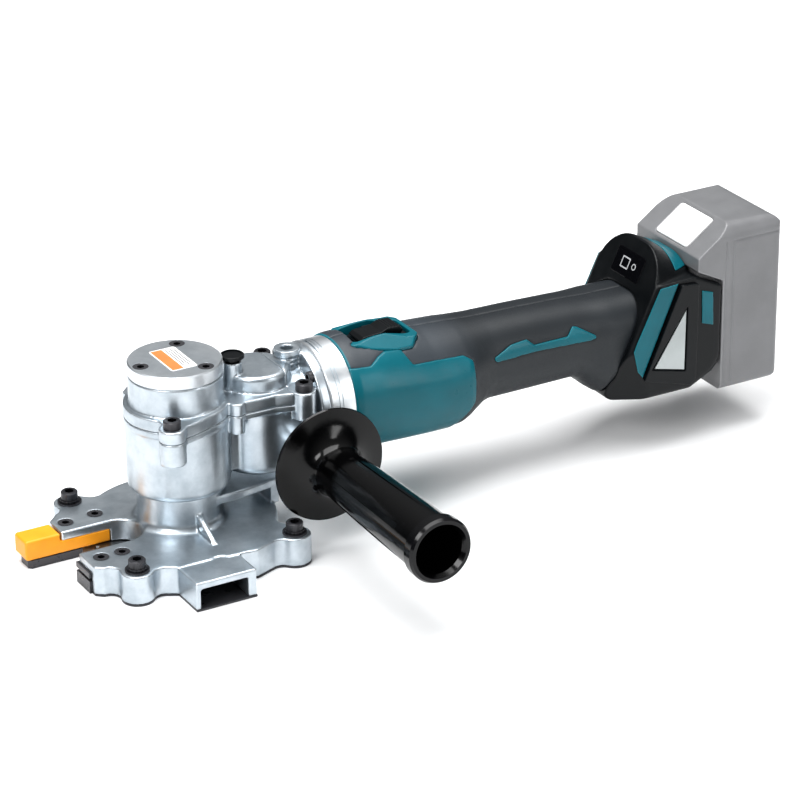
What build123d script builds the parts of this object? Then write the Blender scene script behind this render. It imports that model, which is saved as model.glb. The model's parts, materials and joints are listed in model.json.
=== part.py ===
from build123d import *
from math import acos, atan2, cos, degrees, pi, radians, sin, sqrt, tan
import os

# Cordless flush cutter for reinforcing bar: disc case, gear head, motor, grip, battery, side handle.
# Millimetres. The origin is the spindle axis on the underside of the bottom plate. +X runs along the
# motor axis towards the battery, +Z is up, and the side handle points along -Y.

os.makedirs("parts", exist_ok=True)

# ---------------------------------------------------------------- driving dimensions
UP = (Align.CENTER, Align.CENTER, Align.MIN)
DOWN = (Align.CENTER, Align.CENTER, Align.MAX)
GAP = 0.3                      # clearance between pieces that move past each other
RUN = 0.05                     # radial running clearance of a shaft in its bearing

AXIS_Z = 81.0                  # motor axis height
MODULE = 1.25                  # spur gear module
SPINDLE_TEETH = 46
IDLER_TEETH = 14
COUNTER_TEETH = 16
IDLER_X = MODULE * (SPINDLE_TEETH + IDLER_TEETH) / 2
COUNTER_X = IDLER_X + MODULE * (IDLER_TEETH + COUNTER_TEETH) / 2
BEVEL_GEAR_TEETH = 32
BEVEL_PINION_TEETH = 9
BEVEL_MODULE = 1.25

PLATE_T = 1.2                  # bottom plate
CASE_TOP = 20.0                # top face of the disc case
CASE_ROOF = 14.0               # underside of its roof
CASE_R = 62.0
CAVITY_R = 58.0
EARS = [(-57, -55), (51, -59), (-53, 53), (51, 53)]
EAR_R = 10.5
SLOT_R = 15.5                  # bar slot, closed by a full round
SLOT_ROUND_X = -43.5
NECK_R = 27.3
NECK_TOP = 43.0
CHUTE_X = (-33.6, 8.2)         # chip chute, outside
CHUTE_END_Y = -89.5
CHUTE_TOP = 19.2
CHANNEL_X = (-30.2, 2.2)       # chip chute, inside
CHANNEL_TOP = 14.5
GUIDE_Z = 5.6                  # underside of the bar guide and of the slot's lining

HEAD_R = 33.0                  # main gear cylinder
SPLIT_Z = 92.5                 # joint between gear case and cover
FLANGE_TOP = 101.0
TOWER_R = 30.0                 # upper spindle tower
TOWER_TOP = 120.3
CAP_TOP = 129.0
SECOND_R = 26.0                # cylinder round the countershaft
SECOND_BOTTOM = 45.0
SECOND_DOME = 112.0            # top of the low dome over the countershaft
DOME_R = 22.0
WALL = 3.0
LOWER_BEARING_Z = 32.0
UPPER_BEARING_Z = 105.0
IDLER_PIN_R = 3.5
GEAR_Z = 57.0                  # underside of the spur gears
GEAR_W = 10.0
CASE_BOLTS = [(-21, -37), (8, 38.5), (76, -28.5), (76, 28.5)]
LOW_BOLT = (-10, 38.5)         # bolt beside the gear case, seated lower
LOW_BOLT_Z = 82.0
BOLT_BOTTOM = 84.0             # bottom of the threaded holes under the case bolts
CAP_SCREW_R = 23.5

NECK_END_X = 88.0              # gear case flange towards the motor
FLANGE_X = 92.0                # motor flange ring
FLANGE_END_X = 109.0
FLANGE_R = 37.0

BLADE_R = 55.0
BLADE_Z = 3.4
BLADE_T = 1.6

HANDLE_X = 79.0
HANDLE_Z = 59.0
HANDLE_FACE_Y = -50.0          # end face of the handle boss
HANDLE_END_Y = -195.0
TOP_BOSS_Z = 119.0             # seat of the handle when it is screwed in on top

LOCK_X = 38.6                  # shaft lock button
LOCK_Y = -3.0
LOCK_BOSS_TOP = 119.9
LOCK_BORE_Z = 110.0            # floor of the spring bore
LOCK_CAP_Z = 122.5             # underside of the button's cap

BLOCK_HALF = 37.5              # rear housing half width
BATTERY_TOP = 150.0
LEAN = 25.0                    # the rear housing's front face leans back, degrees


# ---------------------------------------------------------------- shared helpers
def z_cylinder(x, y, z, radius, height, mode=Mode.ADD):
    """Cylinder standing on (x, y, z)."""
    with Locations((x, y, z)):
        Cylinder(radius, height, align=UP, mode=mode)


def x_cylinder(x, length, radius, y=0.0, z=AXIS_Z, mode=Mode.ADD):
    """Cylinder running along +X from x."""
    with Locations((x, y, z)):
        Cylinder(radius, length, rotation=(0, 90, 0), align=UP, mode=mode)


def y_cylinder(y, length, radius, x=HANDLE_X, z=HANDLE_Z, mode=Mode.ADD):
    """Cylinder running along -Y from y."""
    with Locations((x, y, z)):
        Cylinder(radius, length, rotation=(90, 0, 0), align=UP, mode=mode)


def block(low, high, mode=Mode.ADD):
    """Box between two opposite corners."""
    size = [b - a for a, b in zip(low, high)]
    middle = [(a + b) / 2 for a, b in zip(low, high)]
    with Locations(tuple(middle)):
        Box(*size, mode=mode)


def save(builder, name):
    """Label a finished piece and write its file."""
    builder.part.label = name
    export_step(builder.part, f"parts/{name}.step")


def socket_screw(head_r, head_h, shank_r, length):
    """Socket head screw: seat at z = 0, head above, shank below."""
    with BuildPart() as screw:
        Cylinder(head_r, head_h, align=UP)
        chamfer(screw.edges().group_by(Axis.Z)[-1], head_h * 0.12)
        with BuildSketch(Plane.XY.offset(head_h)):
            RegularPolygon(head_r * 0.55, 6)
        extrude(amount=-head_h * 0.6, mode=Mode.SUBTRACT)
        Cylinder(shank_r, length, align=DOWN)
    return screw.part


def flat_screw(head_r, shank_r, length):
    """Countersunk screw: top of the head at z = 0, everything below."""
    with BuildPart() as screw:
        Cylinder(shank_r, length, align=DOWN)
        with Locations((0, 0, -(head_r - shank_r))):
            Cone(shank_r, head_r, head_r - shank_r, align=UP)
        with BuildSketch():
            RegularPolygon(head_r * 0.5, 6)
        extrude(amount=-head_r * 0.4, mode=Mode.SUBTRACT)
    return screw.part


def bearing(outer_r, inner_r, width):
    """Shielded ball bearing as one ring with a shallow shield groove on both faces."""
    with BuildPart() as ring:
        Cylinder(outer_r, width, align=UP)
        Cylinder(inner_r, width, align=UP, mode=Mode.SUBTRACT)
        for z in (0, width - 0.4):
            with BuildSketch(Plane.XY.offset(z)):
                Circle(outer_r * 0.5 + inner_r * 0.5 + (outer_r - inner_r) * 0.25)
                Circle(outer_r * 0.5 + inner_r * 0.5 - (outer_r - inner_r) * 0.25, mode=Mode.SUBTRACT)
            extrude(amount=0.4, mode=Mode.SUBTRACT)
    return ring.part


def involute_point(base_r, r, start_angle, side):
    """Point of the flank at radius r; side is +1 or -1 about the tooth's centre line."""
    pressure = acos(base_r / r) if r > base_r else 0.0
    angle = side * (start_angle - (tan(pressure) - pressure))
    return r * cos(angle), r * sin(angle)


def gear_sketch(teeth, module, phase=0.0, backlash=0.12):
    """Involute spur profile with 25 degree flanks, one tooth centred on the phase angle."""
    pitch_r = module * teeth / 2
    pressure = radians(25)
    base_r = pitch_r * cos(pressure)
    tip_r = pitch_r + 0.9 * module
    root_r = pitch_r - 1.15 * module
    half_tooth = (pi * module / 2 - backlash) / (2 * pitch_r)
    start_angle = half_tooth + tan(pressure) - pressure
    low_r = max(base_r, root_r)
    radii = [low_r + (tip_r - low_r) * step / 4 for step in range(5)]
    left = [involute_point(base_r, r, start_angle, 1) for r in radii]
    right = [involute_point(base_r, r, start_angle, -1) for r in reversed(radii)]
    root = root_r - 0.4
    foot = [(root * cos(a), root * sin(a)) for a in (-start_angle, start_angle)]
    with BuildSketch() as tooth:
        with BuildLine():
            Polyline(*left, *right, *foot, close=True)
        make_face()
    with BuildSketch() as gear:
        Circle(root_r)
        with PolarLocations(0, teeth, start_angle=phase):
            add(tooth.sketch)
    return gear.sketch


def spur_gear(teeth, width, bore_r, phase=0.0):
    """Spur gear standing on z = 0."""
    profile = gear_sketch(teeth, MODULE, phase)
    with BuildPart() as gear:
        extrude(profile, amount=width)
        Cylinder(bore_r, width, align=UP, mode=Mode.SUBTRACT)
    return gear.part


# ---------------------------------------------------------------- disc case and base
def ear_webs():
    """Ears for the base bolts, each tied to the middle by a straight web."""
    for x, y in EARS:
        with Locations((x, y)):
            Circle(EAR_R)
        with Locations(Location((x / 2, y / 2, 0), (0, 0, degrees(atan2(y, x))))):
            Rectangle(sqrt(x * x + y * y), 2 * EAR_R)


def slot_cut():
    """Bar slot open towards -X."""
    with Locations((SLOT_ROUND_X, 0)):
        Circle(SLOT_R, mode=Mode.SUBTRACT)
    with Locations((SLOT_ROUND_X, 0)):
        Rectangle(80, 2 * SLOT_R, align=(Align.MAX, Align.CENTER), mode=Mode.SUBTRACT)


def case_outline():
    """Scalloped outline of the case seen from above, with the jaws and without the chute."""
    with BuildSketch() as outline:
        Circle(CASE_R)
        ear_webs()
        with BuildLine():
            Polyline((-78.5, -14), (-78.5, -38), (-74, -42), (-30, -46), (-20, 0), (-30, 46),
                     (-68, 42), (-76, 34), (-76, 16), (-40, 0), close=True)
        make_face()
        # lobes on both sides of the chute
        with BuildLine():
            Polyline((-57, -45), (-46, -57), (-34, -64), (-10, -64), (-10, -30), close=True)
        make_face()
        with BuildLine():
            Polyline((0, -30), (0, -66), (20, -68.4), (30, -64.7), (39, -61), (51, -45), close=True)
        make_face()
        offset(amount=7, kind=Kind.ARC)
        offset(amount=-7, kind=Kind.ARC)
        slot_cut()
    return outline.sketch


CASE_OUTLINE = case_outline()
LINING_X = -42.3               # the slot's lining starts behind the bar guide
JAW_SCREWS_FAR = [(-67.5, 28), (-46, 30)]
JAW_SCREWS_NEAR = [(-68.5, -27), (-54, -27)]

with BuildPart() as blade_case:
    with BuildSketch(Plane.XY.offset(PLATE_T)):
        add(CASE_OUTLINE)
    extrude(amount=CASE_TOP - PLATE_T)
    block((CHUTE_X[0], CHUTE_END_Y, PLATE_T), (CHUTE_X[1], -40, CHUTE_TOP))
    z_cylinder(0, 0, CASE_TOP, NECK_R, NECK_TOP - CASE_TOP)
    foot = blade_case.edges().filter_by(GeomType.CIRCLE).filter_by(
        lambda e: abs(e.radius - NECK_R) < 0.01 and abs(e.center().Z - CASE_TOP) < 0.01)
    fillet(foot, 6)
    # gusset rib falling from the neck to the chute
    with BuildSketch(Plane.YZ.offset(-2)):
        with BuildLine():
            Polyline((-24, 18), (-24, 34), (-46, 22.5), (-52, 18), close=True)
        make_face()
    extrude(amount=4)
    # rear saddle under the second cylinder
    with BuildSketch(Plane.XY.offset(33)):
        with BuildLine():
            Polyline((0, -24), (34, -23), (66, -17), (66, 17), (34, 23), (0, 24), close=True)
        make_face()
    extrude(amount=6)
    block((58, -14, CASE_TOP - 1), (64, 14, 34))
    # blade cavity, chute channel and the slot's lining
    z_cylinder(0, 0, PLATE_T, CAVITY_R, CASE_ROOF - PLATE_T, mode=Mode.SUBTRACT)
    block((CHANNEL_X[0], CHUTE_END_Y - 5, PLATE_T), (CHANNEL_X[1], -40, CHANNEL_TOP),
          mode=Mode.SUBTRACT)
    with BuildSketch(Plane.XY.offset(GUIDE_Z)):
        with Locations((SLOT_ROUND_X, 0)):
            Circle(SLOT_R + WALL)
            Circle(SLOT_R, mode=Mode.SUBTRACT)
        with Locations((LINING_X, 0)):
            Rectangle(60, 60, align=(Align.MAX, Align.CENTER), mode=Mode.SUBTRACT)
        with Locations((LINING_X, -SLOT_R - WALL / 2)):
            Rectangle(16, WALL, align=(Align.MAX, Align.CENTER))
    extrude(amount=CASE_ROOF - GUIDE_Z)
    # spindle bore with its bearing seat
    z_cylinder(0, 0, PLATE_T, 14, NECK_TOP, mode=Mode.SUBTRACT)
    z_cylinder(0, 0, LOWER_BEARING_Z, 17.5, NECK_TOP, mode=Mode.SUBTRACT)
    # far jaw: only the roof remains above the guide; near jaw: pocket for its guide block
    block((-102, 14, 0), (-42, 34, CASE_ROOF), mode=Mode.SUBTRACT)
    block((-102, -34, 0), (-62, -10, CASE_ROOF), mode=Mode.SUBTRACT)
    with Locations(*[(x, y, CASE_TOP) for x, y in EARS]):
        Hole(2.6)
    with Locations(*[(x, y, CASE_TOP) for x, y in JAW_SCREWS_FAR + JAW_SCREWS_NEAR]):
        CounterSinkHole(2.1, 5.1, counter_sink_angle=90)
save(blade_case, "blade_case")

with BuildPart() as bottom_plate:
    with BuildSketch():
        add(CASE_OUTLINE)
        with Locations((CHUTE_X[0], CHUTE_END_Y)):
            Rectangle(CHUTE_X[1] - CHUTE_X[0], 50, align=(Align.MIN, Align.MIN))
        with Locations((-72, 24)):
            Rectangle(60, 20.4, mode=Mode.SUBTRACT)
        with Locations((-82, -22.2)):
            Rectangle(40, 24.4, mode=Mode.SUBTRACT)
    extrude(amount=PLATE_T)
    with Locations(*[(x, y, PLATE_T) for x, y in EARS]):
        Hole(2.6)
save(bottom_plate, "bottom_plate")

WASHER_T = 1.2
SPRING_WASHER_T = 1.6
with BuildPart() as base_washers:
    with Locations(*[(x, y, CASE_TOP) for x, y in EARS]):
        Cylinder(7.8, WASHER_T, align=UP)
        Cylinder(6.3, WASHER_T + SPRING_WASHER_T, align=UP)
        Cylinder(2.6, WASHER_T + SPRING_WASHER_T, align=UP, mode=Mode.SUBTRACT)
save(base_washers, "base_washers")

BASE_BOLT = socket_screw(5.5, 5.2, 2.5, 21.8)
with BuildPart() as base_bolts:
    with Locations(*[(x, y, CASE_TOP + WASHER_T + SPRING_WASHER_T) for x, y in EARS]):
        add(BASE_BOLT)
save(base_bolts, "base_bolts")

with BuildPart() as bar_guide:
    block((-101, 15.5, GUIDE_Z), (-42.5, 33, CASE_ROOF))
    block((-101, 15.5, CASE_ROOF), (-77, 33, 19.2))
    fillet(bar_guide.edges().filter_by(Axis.Y).filter_by(lambda e: e.center().X < -100), 2.0)
    chamfer(bar_guide.edges().filter_by(Axis.X).sort_by(Axis.Z)[-2:], 0.8)
    for x, y in JAW_SCREWS_FAR:
        z_cylinder(x, y, 8, 2.0, 10, mode=Mode.SUBTRACT)
save(bar_guide, "bar_guide")

with BuildPart() as lower_guide:
    block((-99, 15.5, 0), (-62, 30, GUIDE_Z - 0.1))
    chamfer(lower_guide.edges().filter_by(Axis.Z).filter_by(lambda e: e.center().X < -98), 2)
save(lower_guide, "lower_guide")

with BuildPart() as near_guide:
    block((-80, -33.5, 0), (-62.5, -14.2, CASE_ROOF))
    block((-81, -36, 8.2), (-73, -12, 10.4), mode=Mode.SUBTRACT)
    z_cylinder(JAW_SCREWS_NEAR[0][0], JAW_SCREWS_NEAR[0][1], 5, 2.0, 10, mode=Mode.SUBTRACT)
save(near_guide, "near_guide")

JAW_SCREW = flat_screw(5.0, 2.0, 9)
with BuildPart() as jaw_screws:
    with Locations(*[(x, y, CASE_TOP - 0.05) for x, y in JAW_SCREWS_FAR + JAW_SCREWS_NEAR]):
        add(JAW_SCREW)
save(jaw_screws, "jaw_screws")


# ---------------------------------------------------------------- gear head castings
FLANGE_SCREW_R = 33.0
FLANGE_SCREW_PLACES = [(FLANGE_SCREW_R * cos(radians(a)), AXIS_Z + FLANGE_SCREW_R * sin(radians(a)))
                       for a in (48, 132, 188, 352)]


def flange_screw_holes(x, length):
    """Holes for the four screws that join gear case and motor flange."""
    for y, z in FLANGE_SCREW_PLACES:
        x_cylinder(x, length, 2.0, y=y, z=z, mode=Mode.SUBTRACT)


def head_outside():
    """Outer shape of gear case and cover together, still solid."""
    with BuildPart() as first:
        z_cylinder(0, 0, NECK_TOP, HEAD_R, FLANGE_TOP - NECK_TOP)
        fillet(first.edges().group_by(Axis.Z)[0], 5)
    with BuildPart() as second:
        z_cylinder(COUNTER_X, 0, SECOND_BOTTOM, SECOND_R, FLANGE_TOP - SECOND_BOTTOM)
        fillet(second.edges().group_by(Axis.Z)[0], 6)
    with BuildPart() as dome:
        z_cylinder(COUNTER_X, 0, SPLIT_Z, DOME_R, SECOND_DOME - SPLIT_Z)
        fillet(dome.edges().group_by(Axis.Z)[-1], 3)
    with BuildPart() as outside:
        add(first.part)
        add(second.part)
        add(dome.part)
        block((0, -16, 50), (COUNTER_X, 16, FLANGE_TOP))
        # bolt flange: a band of its own width that joins the bolt bosses
        with BuildSketch(Plane.XY.offset(SPLIT_Z - 4)):
            with BuildLine():
                Polyline((-24, -37), (-21, -44), (-12, -39.5), (-1.5, -36.6), (12, -31), (27, -21),
                         (31, -26), (56, -26.5), (76, -33), (76, 33), (56, 26.5), (30, 26),
                         (12, 44), (4, 44), (-16, 36), (-24, 28), close=True)
            make_face()
            Circle(HEAD_R + 0.6)
            with Locations((COUNTER_X, 0)):
                Circle(SECOND_R + 0.6)
        extrude(amount=FLANGE_TOP - SPLIT_Z + 4)
        # bosses: near left, far, both beside the motor flange, a plain one, and the low one
        z_cylinder(CASE_BOLTS[0][0], CASE_BOLTS[0][1], 77, 8.5, FLANGE_TOP - 77)
        z_cylinder(CASE_BOLTS[1][0], CASE_BOLTS[1][1], 77, 7.5, FLANGE_TOP - 77)
        for x, y in CASE_BOLTS[2:]:
            z_cylinder(x, y, 82, 7.5, FLANGE_TOP - 82)
        z_cylinder(31, -23, 80, 5, FLANGE_TOP - 80)
        z_cylinder(LOW_BOLT[0], LOW_BOLT[1], 58, 7, LOW_BOLT_Z - 58)
        block((LOW_BOLT[0] - 5, 20, 60), (LOW_BOLT[0] + 5, LOW_BOLT[1], LOW_BOLT_Z - 1))
        # neck to the motor, with its round flange
        x_cylinder(COUNTER_X, NECK_END_X - COUNTER_X, 25)
        x_cylinder(NECK_END_X - 3, FLANGE_X - NECK_END_X + 3, FLANGE_R - 0.6)
        # bosses for the side handle on both sides and on top
        with Locations((HANDLE_X, 0, HANDLE_Z)):
            Cylinder(12.5, 2 * -HANDLE_FACE_Y, rotation=(90, 0, 0))
        z_cylinder(HANDLE_X, 0, 95, 6.8, TOP_BOSS_Z - 95)
        for z in (105.5, 108.5, 111.5):
            z_cylinder(HANDLE_X, 0, z, 7.5, 1.2)
        z_cylinder(HANDLE_X, 0, TOP_BOSS_Z - 4.5, 8.5, 4.5)
    return outside.part


HEAD_OUTSIDE = head_outside()
COVER_END_X = 68.0             # the cover stops short of the motor neck

with BuildPart() as gear_case:
    add(HEAD_OUTSIDE)
    block((-60, -60, SPLIT_Z), (COVER_END_X, 60, 140), mode=Mode.SUBTRACT)
    # gear spaces: spindle gear, idler, countershaft and the motor end
    z_cylinder(0, 0, NECK_TOP + 2, HEAD_R - WALL, 60, mode=Mode.SUBTRACT)
    z_cylinder(COUNTER_X, 0, 56, SECOND_R - WALL, 42.5, mode=Mode.SUBTRACT)
    block((0, -14, 56), (COUNTER_X, 14, 120), mode=Mode.SUBTRACT)
    z_cylinder(COUNTER_X, 0, 48.5, 11, 20, mode=Mode.SUBTRACT)
    z_cylinder(IDLER_X, 0, 50.5, IDLER_PIN_R, 20, mode=Mode.SUBTRACT)
    z_cylinder(0, 0, 40, 15, 20, mode=Mode.SUBTRACT)
    x_cylinder(COUNTER_X, 22, 15, mode=Mode.SUBTRACT)
    x_cylinder(77, 10, 13, mode=Mode.SUBTRACT)
    x_cylinder(86, 20, 10, mode=Mode.SUBTRACT)
    x_cylinder(89.5, 10, 30.5, mode=Mode.SUBTRACT)
    flange_screw_holes(80, 20)
    for side in (-1, 1):
        with Locations((HANDLE_X, side * 50, HANDLE_Z)):
            Cylinder(4.0, 48, rotation=(90, 0, 0), mode=Mode.SUBTRACT)
    z_cylinder(HANDLE_X, 0, 101, 4.0, 30, mode=Mode.SUBTRACT)
    for x, y in CASE_BOLTS:
        z_cylinder(x, y, BOLT_BOTTOM, 2.6, 40, mode=Mode.SUBTRACT)
    z_cylinder(LOW_BOLT[0], LOW_BOLT[1], LOW_BOLT_Z - 17, 2.6, 40, mode=Mode.SUBTRACT)
    # room for the bolt head above the low boss
    z_cylinder(LOW_BOLT[0], LOW_BOLT[1], LOW_BOLT_Z, 6.5, SPLIT_Z - LOW_BOLT_Z, mode=Mode.SUBTRACT)
save(gear_case, "gear_case")

with BuildPart() as gear_case_cover:
    add(HEAD_OUTSIDE)
    block((-60, -60, 0), (120, 60, SPLIT_Z), mode=Mode.SUBTRACT)
    block((COVER_END_X, -60, 0), (120, 60, 140), mode=Mode.SUBTRACT)
    z_cylinder(0, 0, FLANGE_TOP, TOWER_R, TOWER_TOP - FLANGE_TOP)
    z_cylinder(LOCK_X, LOCK_Y, FLANGE_TOP, 6, LOCK_BOSS_TOP - FLANGE_TOP)
    # bearing seats and clearance for the gears below
    z_cylinder(0, 0, SPLIT_Z, HEAD_R - WALL - 1, FLANGE_TOP - SPLIT_Z - 3, mode=Mode.SUBTRACT)
    z_cylinder(0, 0, SPLIT_Z, 12, 60, mode=Mode.SUBTRACT)
    z_cylinder(0, 0, 105, 17.5, 20, mode=Mode.SUBTRACT)
    z_cylinder(COUNTER_X, 0, SPLIT_Z, 22, 98.5 - SPLIT_Z, mode=Mode.SUBTRACT)
    z_cylinder(COUNTER_X, 0, 98.5, 11, 8, mode=Mode.SUBTRACT)
    # lock button bore, its pin hole, and the bolt and cap screw holes
    z_cylinder(LOCK_X, LOCK_Y, LOCK_BORE_Z, 4.6, 20, mode=Mode.SUBTRACT)
    z_cylinder(LOCK_X, LOCK_Y, 90, 2.6, 30, mode=Mode.SUBTRACT)
    for x, y in CASE_BOLTS:
        z_cylinder(x, y, BOLT_BOTTOM, 2.6, 40, mode=Mode.SUBTRACT)
    z_cylinder(LOW_BOLT[0], LOW_BOLT[1], 90, 6.5, 6, mode=Mode.SUBTRACT)
    with PolarLocations(CAP_SCREW_R, 3, start_angle=60):
        with Locations((0, 0, 108)):
            Cylinder(1.6, 30, align=UP, mode=Mode.SUBTRACT)
save(gear_case_cover, "gear_case_cover")

with BuildPart() as top_cap:
    z_cylinder(0, 0, TOWER_TOP, TOWER_R, CAP_TOP - TOWER_TOP)
    chamfer(top_cap.edges().group_by(Axis.Z)[-1], 0.8)
    chamfer(top_cap.edges().group_by(Axis.Z)[0], 0.5)
    z_cylinder(0, 0, TOWER_TOP, 17.5, 4, mode=Mode.SUBTRACT)
    with Locations((0, 0, CAP_TOP)):
        with PolarLocations(CAP_SCREW_R, 3, start_angle=60):
            CounterSinkHole(1.7, 5.1, counter_sink_angle=90)
save(top_cap, "top_cap")

CAP_SCREW = flat_screw(5.0, 1.6, 18)
with BuildPart() as cap_screws:
    with Locations((0, 0, CAP_TOP - 0.05)):
        with PolarLocations(CAP_SCREW_R, 3, start_angle=60):
            add(CAP_SCREW)
save(cap_screws, "cap_screws")

with BuildPart() as cap_label:
    with BuildSketch(Plane(origin=(-1, 0, CAP_TOP), x_dir=(0, -1, 0), z_dir=(0, 0, 1))):
        RectangleRounded(34, 18, 1.5)
    extrude(amount=0.2)
save(cap_label, "cap_label")

CASE_BOLT = socket_screw(5.6, 5.5, 2.5, FLANGE_TOP - BOLT_BOTTOM - 1)
with BuildPart() as case_bolts:
    with Locations(*[(x, y, FLANGE_TOP) for x, y in CASE_BOLTS]):
        add(CASE_BOLT)
    with Locations((LOW_BOLT[0], LOW_BOLT[1], LOW_BOLT_Z)):
        add(CASE_BOLT)
save(case_bolts, "case_bolts")

with BuildPart() as motor_flange:
    x_cylinder(FLANGE_X, FLANGE_END_X - FLANGE_X, FLANGE_R)
    chamfer(motor_flange.edges().group_by(Axis.X)[0], 0.8)
    x_cylinder(FLANGE_X, 20, 30.5, mode=Mode.SUBTRACT)
    flange_screw_holes(FLANGE_X, 6)
    # short arc groove on top, then two fine grooves all round
    with BuildSketch(Plane.YZ.offset(94.8)):
        with Locations((0, AXIS_Z)):
            Circle(FLANGE_R + 1)
            Circle(FLANGE_R - 0.8, mode=Mode.SUBTRACT)
        with Locations((-6.5, AXIS_Z + FLANGE_R)):
            Rectangle(25, 30, mode=Mode.INTERSECT)
    extrude(amount=1.0, mode=Mode.SUBTRACT)
    for x in (97.3, 99.8):
        with BuildSketch(Plane.YZ.offset(x)):
            with Locations((0, AXIS_Z)):
                Circle(FLANGE_R + 1)
                Circle(FLANGE_R - 0.3, mode=Mode.SUBTRACT)
        extrude(amount=0.5, mode=Mode.SUBTRACT)
save(motor_flange, "motor_flange")

FLANGE_SCREW = socket_screw(3.8, 3.2, 2.0, 11)
with BuildPart() as flange_screws:
    for y, z in FLANGE_SCREW_PLACES:
        with Locations(Location((NECK_END_X - 3, y, z), (0, -90, 0))):
            add(FLANGE_SCREW)
save(flange_screws, "flange_screws")


# ---------------------------------------------------------------- blade and spindle
def blade_outline(teeth=48, depth=2.4):
    """Circular saw outline with raked teeth."""
    root_r = BLADE_R - depth
    points = []
    for i in range(teeth):
        start = 2 * pi * i / teeth
        step = 2 * pi / teeth
        points.append((root_r * cos(start), root_r * sin(start)))
        points.append((BLADE_R * cos(start + 0.6 * step), BLADE_R * sin(start + 0.6 * step)))
        points.append((BLADE_R * cos(start + 0.9 * step), BLADE_R * sin(start + 0.9 * step)))
    with BuildSketch() as outline:
        with BuildLine():
            Polyline(*points, close=True)
        make_face()
        Circle(5, mode=Mode.SUBTRACT)
        with PolarLocations(33, 6):
            SlotCenterToCenter(14, 1.2, rotation=35, mode=Mode.SUBTRACT)
    return outline.sketch


with BuildPart() as saw_blade:
    with BuildSketch(Plane.XY.offset(BLADE_Z)):
        add(blade_outline())
    extrude(amount=BLADE_T)
save(saw_blade, "saw_blade")

FLANGE_INNER_TOP = 12.0
FLANGE_OUTER_LOW = 1.9
BOLT_SEAT = 2.9               # the blade bolt's head is sunk into the outer flange
with BuildPart() as blade_flanges:
    z_cylinder(0, 0, BLADE_Z + BLADE_T, 18, FLANGE_INNER_TOP - BLADE_Z - BLADE_T)
    chamfer(blade_flanges.edges().group_by(Axis.Z)[-1], 1.5)
    z_cylinder(0, 0, BLADE_Z + BLADE_T, 7.45, 10, mode=Mode.SUBTRACT)
    z_cylinder(0, 0, FLANGE_OUTER_LOW, 14, BLADE_Z - FLANGE_OUTER_LOW)
    z_cylinder(0, 0, FLANGE_OUTER_LOW, 2.5, BLADE_Z - FLANGE_OUTER_LOW, mode=Mode.SUBTRACT)
    z_cylinder(0, 0, FLANGE_OUTER_LOW, 5.3, BOLT_SEAT - FLANGE_OUTER_LOW, mode=Mode.SUBTRACT)
save(blade_flanges, "blade_flanges")

with BuildPart() as blade_bolt:
    z_cylinder(0, 0, FLANGE_OUTER_LOW, 5.2, BOLT_SEAT - FLANGE_OUTER_LOW)
    z_cylinder(0, 0, FLANGE_OUTER_LOW, 2.5, 18)
    with BuildSketch(Plane.XY.offset(FLANGE_OUTER_LOW)):
        RegularPolygon(2.0, 6)
    extrude(amount=2.0, mode=Mode.SUBTRACT)
save(blade_bolt, "blade_bolt")

SPINDLE_R = 7.5 - RUN
with BuildPart() as spindle:
    z_cylinder(0, 0, BLADE_Z, 5, 10)
    z_cylinder(0, 0, BLADE_Z + BLADE_T, SPINDLE_R, 117 - BLADE_Z - BLADE_T)
    z_cylinder(0, 0, 50.8, 11, GEAR_Z - 50.8)
    chamfer(spindle.edges().group_by(Axis.Z)[-1], 0.8)
    z_cylinder(0, 0, 0, 2.5, 24, mode=Mode.SUBTRACT)
save(spindle, "spindle")

with BuildPart() as spindle_gear:
    with Locations((0, 0, GEAR_Z)):
        add(spur_gear(SPINDLE_TEETH, GEAR_W, SPINDLE_R))
        Cylinder(13, GEAR_W + 3, align=UP)
        Cylinder(SPINDLE_R, GEAR_W + 3, align=UP, mode=Mode.SUBTRACT)
        with PolarLocations(19, 6):
            Cylinder(3.2, GEAR_W, align=UP, mode=Mode.SUBTRACT)
save(spindle_gear, "spindle_gear")

SPINDLE_BEARING = bearing(17.5, 7.5, 11)
with BuildPart() as spindle_bearings:
    with Locations((0, 0, LOWER_BEARING_Z), (0, 0, UPPER_BEARING_Z)):
        add(SPINDLE_BEARING)
save(spindle_bearings, "spindle_bearings")

with BuildPart() as idler_pin:
    z_cylinder(IDLER_X, 0, 50.5, IDLER_PIN_R, 18.5)
    z_cylinder(IDLER_X, 0, GEAR_Z + GEAR_W + GAP, 5.2, 1.2)
save(idler_pin, "idler_pin")

with BuildPart() as idler_gear:
    with Locations((IDLER_X, 0, GEAR_Z)):
        add(spur_gear(IDLER_TEETH, GEAR_W, IDLER_PIN_R + RUN, phase=180 / IDLER_TEETH))
save(idler_gear, "idler_gear")


# ---------------------------------------------------------------- countershaft and bevel pair
BEVEL_GEAR_R = BEVEL_MODULE * BEVEL_GEAR_TEETH / 2
BEVEL_PINION_R = BEVEL_MODULE * BEVEL_PINION_TEETH / 2
BEVEL_BACK_Z = 94.0
NOTCH_DEPTH = 2.6              # notches for the shaft lock in the gear's back
BEVEL_SMALL = 0.66             # small end of the teeth as a part of the large end


def tooth_wedge(foot_w, tip_w, foot, tip):
    """Trapezoid on local x (width) and y (height), drawn about a pitch line at y = 0."""
    with BuildSketch() as section:
        with BuildLine():
            Polyline((-foot_w / 2, -foot), (foot_w / 2, -foot), (tip_w / 2, tip),
                     (-tip_w / 2, tip), close=True)
        make_face()
    return section.sketch


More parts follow.
